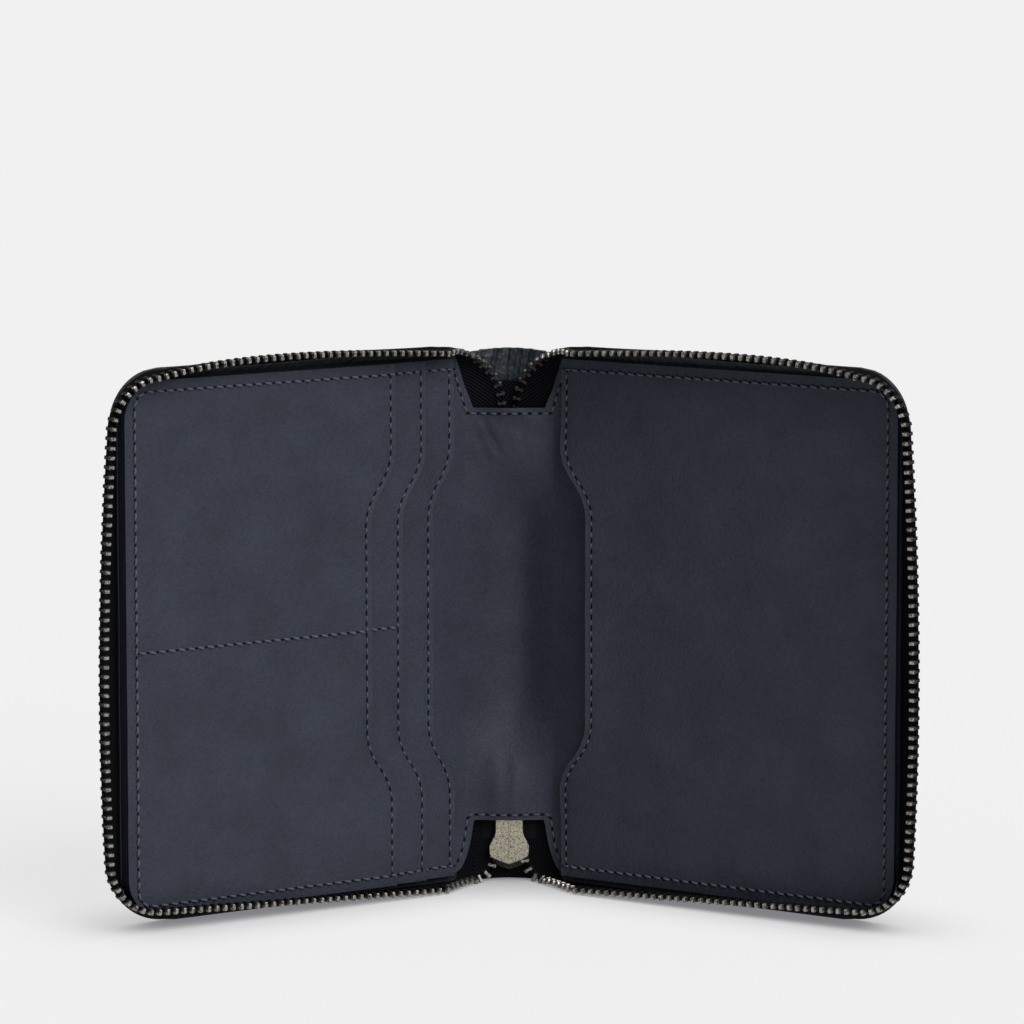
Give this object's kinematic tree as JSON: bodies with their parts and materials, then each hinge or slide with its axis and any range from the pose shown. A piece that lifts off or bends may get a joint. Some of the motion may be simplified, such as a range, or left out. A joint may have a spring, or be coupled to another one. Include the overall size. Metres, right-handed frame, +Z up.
{
  "type": "passport wallet",
  "caption": "Zip-around passport wallet standing open in a V, with stepped card slots on the left half and a full-height passport pocket on the right.",
  "frame": {"origin": "middle of the object's footprint on the surface it stands on", "axes": "+Z up the spine, +Y from the open mouth towards the spine, +X to the right half as seen from the mouth"},
  "size_m": [0.1978, 0.077, 0.1394],
  "materials": {
    "cover_leather": "pebbled leather, soft satin",
    "lining_leather": "smooth leather, soft satin",
    "stiffener_board": "matt",
    "zip_tape": "woven",
    "zip_teeth": "aged, bright where worn",
    "slider_metal": "aged, speckled"
  },
  "bodies": {
    "spine": {"outer_cover_spine": "cover_leather", "liner_spine": "lining_leather", "zip_tape_end_upper": "zip_tape", "zip_tape_end_lower": "zip_tape", "zip_joined_teeth": "zip_teeth", "zip_bottom_stop": "zip_teeth", "zip_top_stops": "zip_teeth"},
    "left_half": {"outer_cover_left": "cover_leather", "stiffener_left": "stiffener_board", "liner_left": "lining_leather", "card_pocket_rear": "lining_leather", "card_pocket_middle": "lining_leather", "card_pocket_front": "lining_leather", "zip_tape_left": "zip_tape", "zip_teeth_left": "zip_teeth", "zip_gusset_left": "zip_tape", "zip_bend_teeth_left": "zip_teeth"},
    "right_half": {"outer_cover_right": "cover_leather", "stiffener_right": "stiffener_board", "liner_right": "lining_leather", "passport_pocket": "lining_leather", "zip_tape_right": "zip_tape", "zip_teeth_right": "zip_teeth", "zip_gusset_right": "zip_tape", "zip_bend_teeth_right": "zip_teeth"},
    "slider": {"zip_slider_body": "slider_metal", "zip_slider_bail": "slider_metal"},
    "pull": {"zip_pull": "slider_metal"}
  },
  "joints": [
    {"name": "left_fold", "type": "hinge", "parent": "spine", "child": "left_half", "pos_m": [-0.01125, 0.03129, 0], "axis": [0, 0, 1], "range_deg": [-32.8, 57.2], "deforming": ["zip_gusset_left", "zip_bend_teeth_left"]},
    {"name": "right_fold", "type": "hinge", "parent": "spine", "child": "right_half", "pos_m": [0.01125, 0.03129, 0], "axis": [0, 0, -1], "range_deg": [-32.8, 57.2], "deforming": ["zip_gusset_right", "zip_bend_teeth_right"]},
    {"name": "slider_run", "type": "slide", "parent": "spine", "child": "slider", "axis": [0, 0, -1], "range_m": [0, 0.003]},
    {"name": "pull_swing", "type": "hinge", "parent": "slider", "child": "pull", "pos_m": [0, 0.03509, 0.011], "axis": [1, 0, 0], "range_deg": [-3, 3]}
  ]
}
